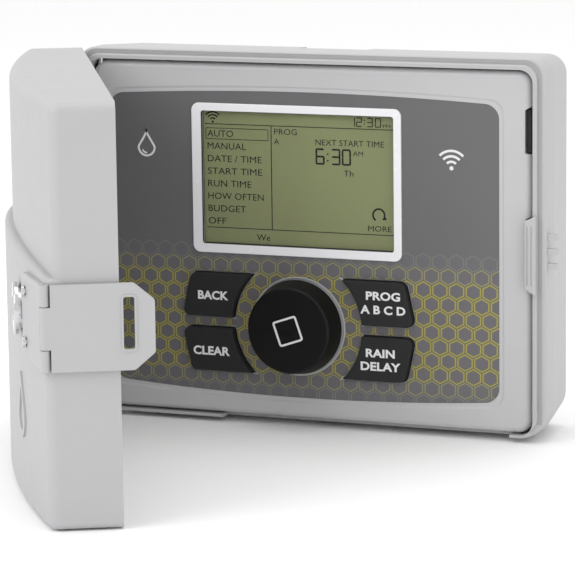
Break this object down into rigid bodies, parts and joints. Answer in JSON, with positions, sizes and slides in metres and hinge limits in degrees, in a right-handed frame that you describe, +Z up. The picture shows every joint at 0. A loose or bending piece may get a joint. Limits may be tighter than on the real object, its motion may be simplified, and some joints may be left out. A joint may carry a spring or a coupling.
{
  "type": "irrigation controller",
  "caption": "Wall-mounted outdoor irrigation controller with a hinged locking cover, a swing-out panel, a screen, a turn-and-press dial and push buttons.",
  "frame": {"origin": "middle of the flat back face that lies on the wall", "axes": "+X to the right seen from the front, +Y into the wall, +Z up; the cover rests part open"},
  "size_m": [0.2909, 0.303, 0.1984],
  "materials": {
    "housing_grey": "light grey moulded polypropylene, fine texture",
    "cover_grey": "light grey moulded polypropylene, fine texture",
    "panel_grey": "light grey moulded plastic, satin",
    "label_print": "printed dark grey overlay with a honeycomb line pattern",
    "screen_white": "smooth white plastic",
    "screen_clear": "clear acrylic window",
    "screen_lcd": "reflective twisted nematic glass",
    "seal_grey": "light grey foam rubber cord",
    "black_rubber": "matt black rubber",
    "black_plastic": "satin black plastic",
    "mark_white": "white pad print",
    "board_green": "green solder mask on glass epoxy",
    "terminal_green": "green moulded terminal housing",
    "steel": "zinc plated steel",
    "chrome": "chromed zinc die casting",
    "iron_core": "varnished laminations",
    "coil_tape": "yellow winding tape",
    "chip_black": "black epoxy",
    "inner_white": "white moulded plastic"
  },
  "bodies": {
    "housing": {"back_housing": "housing_grey", "rim_seal": "seal_grey", "hinge_pins": "steel", "transformer_core": "iron_core", "transformer_coil": "coil_tape", "transformer_brackets": "steel", "transformer_screws": "steel", "terminal_board": "board_green", "board_screws": "steel", "field_terminals": "terminal_green", "field_screws": "steel", "board_parts": "chip_black", "mains_terminal": "inner_white", "mains_screws": "steel", "transformer_cover": "inner_white", "cover_screws": "steel", "conduit_plug": "housing_grey", "cable_grommet": "black_rubber"},
    "cover": {"door_shell": "cover_grey", "lock_body": "chrome", "lock_nut": "steel", "hasp_bracket": "cover_grey", "hasp_rivets": "steel", "hasp_pin": "steel", "cover_emblem": "cover_grey"},
    "hasp": {"hasp_leg": "cover_grey"},
    "lock": {"lock_plug": "chrome", "lock_cam": "steel", "cam_screw": "steel"},
    "panel": {"panel_bezel": "panel_grey", "panel_pins": "steel", "face_label": "label_print", "lcd_frame": "screen_white", "lcd_window": "screen_clear", "lcd_glass": "screen_lcd", "lcd_backlight": "screen_white", "contact_strips": "black_rubber", "control_board": "board_green", "control_board_screws": "steel", "keypad_mat": "black_rubber", "encoder_body": "black_plastic", "board_components": "chip_black", "wifi_module": "steel", "cell_holder": "black_plastic", "coin_cell": "steel", "panel_back": "panel_grey", "panel_screws": "steel", "dial_ring": "panel_grey"},
    "dial_press": {"dial_plunger": "steel"},
    "dial": {"dial_shaft": "steel", "dial_knob": "black_plastic", "dial_mark": "mark_white"},
    "back_key": {"button_back": "black_rubber"},
    "clear_key": {"button_clear": "black_rubber"},
    "program_key": {"button_program": "black_rubber"},
    "delay_key": {"button_delay": "black_rubber"}
  },
  "joints": [
    {"name": "cover_swing", "type": "hinge", "parent": "housing", "child": "cover", "pos_m": [-0.1298, -0.056, 0], "axis": [0, 0, -1], "range_deg": [-61.4, 53]},
    {"name": "hasp_swing", "type": "hinge", "parent": "cover", "child": "hasp", "pos_m": [-0.03098, -0.30076, -0.0047], "axis": [0, 0, -1], "range_deg": [0, 30]},
    {"name": "lock_turn", "type": "hinge", "parent": "cover", "child": "lock", "pos_m": [-0.04453, -0.24163, -0.005], "axis": [0.878, 0.4787, 0], "range_deg": [0, 90]},
    {"name": "panel_swing", "type": "hinge", "parent": "housing", "child": "panel", "pos_m": [-0.118, -0.0478, 0], "axis": [0, 0, -1], "range_deg": [0, 58]},
    {"name": "dial_push", "type": "slide", "parent": "panel", "child": "dial_press", "axis": [0, 1, 0], "range_m": [0, 0.001], "stiffness_N_per_m": 2000},
    {"name": "dial_turn", "type": "hinge", "parent": "dial_press", "child": "dial", "pos_m": [-0.0064, -0.06, -0.0464], "axis": [0, -1, 0], "continuous": true},
    {"name": "back_press", "type": "slide", "parent": "panel", "child": "back_key", "axis": [0, 1, 0], "range_m": [0, 0.0012], "stiffness_N_per_m": 1200},
    {"name": "clear_press", "type": "slide", "parent": "panel", "child": "clear_key", "axis": [0, 1, 0], "range_m": [0, 0.0012], "stiffness_N_per_m": 1200},
    {"name": "program_press", "type": "slide", "parent": "panel", "child": "program_key", "axis": [0, 1, 0], "range_m": [0, 0.0012], "stiffness_N_per_m": 1200},
    {"name": "delay_press", "type": "slide", "parent": "panel", "child": "delay_key", "axis": [0, 1, 0], "range_m": [0, 0.0012], "stiffness_N_per_m": 1200}
  ]
}
